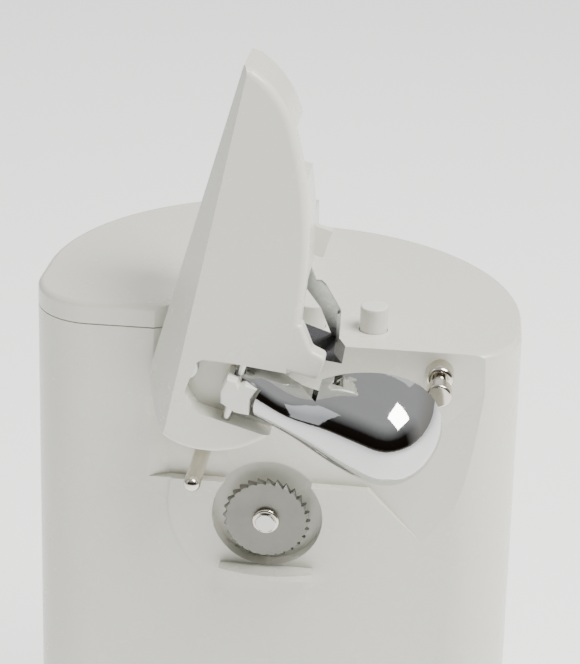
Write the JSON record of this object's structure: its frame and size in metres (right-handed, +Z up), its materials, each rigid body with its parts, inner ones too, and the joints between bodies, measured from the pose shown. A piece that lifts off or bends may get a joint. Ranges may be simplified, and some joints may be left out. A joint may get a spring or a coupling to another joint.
{
  "type": "electric can opener",
  "caption": "Tall D-plan electric can opener: raised cutting lever with a swinging chrome magnet arm, toothed drive wheel, guide pin, motor and gear train inside",
  "frame": {"origin": "on the surface the feet stand on, under the centre of the bounding box at rest, lever raised", "axes": "+X to the right seen from the front, +Y to the back, +Z up"},
  "size_m": [0.14, 0.136, 0.2999],
  "materials": {
    "black_nylon": "moulded nylon, matt",
    "chrome_plated_zinc": "die cast, chrome plated",
    "electrical_steel": "stacked laminations",
    "enamelled_copper": "wound enamelled wire",
    "ferrite": "pressed and sintered",
    "gear_acetal": "moulded acetal, natural",
    "grey_polycarbonate": "moulded, matt",
    "ground_steel": "ground and polished",
    "hardened_steel": "hardened and tempered, edge ground",
    "nickel_plated_steel": "turned, nickel plated",
    "sintered_bronze": "oil-filled sintered bronze",
    "sintered_steel": "sintered, matt grey",
    "soft_rubber": "moulded",
    "spring_steel": "drawn wire",
    "white_abs": "moulded ABS, gloss",
    "white_acetal": "moulded acetal, satin",
    "zinc_plated_steel": "pressed, zinc plated"
  },
  "bodies": {
    "stand": {"main_housing": "white_abs", "top_cap": "white_abs", "can_rest": "white_abs", "base_plate": "grey_polycarbonate", "plunger_bracket": "grey_polycarbonate", "rubber_feet": "soft_rubber", "cord_inlet": "black_nylon", "power_switch": "black_nylon", "coil_bobbin": "black_nylon", "front_bushing": "sintered_bronze", "rear_bushing": "sintered_bronze", "motor_bearings": "sintered_bronze", "second_gear_axle": "ground_steel", "first_gear_axle": "ground_steel", "gearbox_front_plate": "zinc_plated_steel", "gearbox_rear_plate": "zinc_plated_steel", "gearbox_spacers": "zinc_plated_steel", "gearbox_screws": "zinc_plated_steel", "base_screws": "zinc_plated_steel", "bracket_screws": "zinc_plated_steel", "motor_screws": "zinc_plated_steel", "motor_front_bracket": "zinc_plated_steel", "motor_rear_bracket": "zinc_plated_steel", "stator_stack": "electrical_steel", "coil_winding": "enamelled_copper", "lift_spring": "spring_steel", "switch_spring": "spring_steel", "guide_pin": "nickel_plated_steel", "catch_post": "nickel_plated_steel", "lever_pivot_pin": "ground_steel", "lever_pivot_collar": "zinc_plated_steel"},
    "drive_spindle": {"drive_shaft": "ground_steel", "drive_wheel": "sintered_steel", "wheel_nut": "nickel_plated_steel", "final_gear": "sintered_steel"},
    "second_gear_body": {"second_gear": "gear_acetal"},
    "first_gear_body": {"first_gear": "gear_acetal"},
    "rotor": {"rotor_shaft": "ground_steel", "rotor_core": "electrical_steel", "motor_pinion": "sintered_bronze"},
    "lift_button": {"lift_plunger": "white_acetal"},
    "switch_button": {"switch_plunger": "white_acetal"},
    "lever": {"lever_shell": "white_abs", "cutter_plate": "zinc_plated_steel", "cutter_plate_screws": "zinc_plated_steel", "cutter_knife": "hardened_steel", "arm_hinge_block": "white_acetal", "arm_hinge_pin": "ground_steel"},
    "arm": {"magnet_arm": "chrome_plated_zinc", "magnet": "ferrite"}
  },
  "joints": [
    {"name": "lever_pivot", "type": "hinge", "parent": "stand", "child": "lever", "pos_m": [-0.0198, -0.038, 0.2198], "axis": [0, 1, 0], "range_deg": [0, 73.45]},
    {"name": "arm_hinge", "type": "hinge", "parent": "lever", "child": "arm", "pos_m": [-0.00657, -0.0456, 0.21587], "axis": [-0.2849, 0, -0.9586], "range_deg": [0, 80]},
    {"name": "lift_button_slide", "type": "slide", "parent": "stand", "child": "lift_button", "axis": [0, 0, 1], "range_m": [-0.003, 0], "stiffness_N_per_m": 250, "springref_m": 0.004, "deforming": ["lift_spring"]},
    {"name": "switch_button_slide", "type": "slide", "parent": "stand", "child": "switch_button", "axis": [0, 0, 1], "range_m": [-0.003, 0], "stiffness_N_per_m": 250, "springref_m": 0.004, "deforming": ["switch_spring"]},
    {"name": "rotor_spin", "type": "hinge", "parent": "stand", "child": "rotor", "pos_m": [0, 0.02, 0.10911], "axis": [0, 1, 0], "continuous": true},
    {"name": "first_gear_spin", "type": "hinge", "parent": "stand", "child": "first_gear_body", "pos_m": [0.0055, 0, 0.12813], "axis": [0, 1, 0], "continuous": true},
    {"name": "second_gear_spin", "type": "hinge", "parent": "stand", "child": "second_gear_body", "pos_m": [0.0155, -0.008, 0.14739], "axis": [0, 1, 0], "continuous": true},
    {"name": "drive_spindle_spin", "type": "hinge", "parent": "stand", "child": "drive_spindle", "pos_m": [0, -0.01, 0.1695], "axis": [0, 1, 0], "continuous": true}
  ],
  "couplings": [
    {"joint": "first_gear_spin", "follows": "rotor_spin", "ratio": -0.22222},
    {"joint": "second_gear_spin", "follows": "rotor_spin", "ratio": 0.053333},
    {"joint": "drive_spindle_spin", "follows": "rotor_spin", "ratio": -0.013333},
    {"joint": "lift_button_slide", "follows": "lever_pivot", "m_per_rad": -0.0023402},
    {"joint": "switch_button_slide", "follows": "lever_pivot", "m_per_rad": -0.0023402}
  ]
}
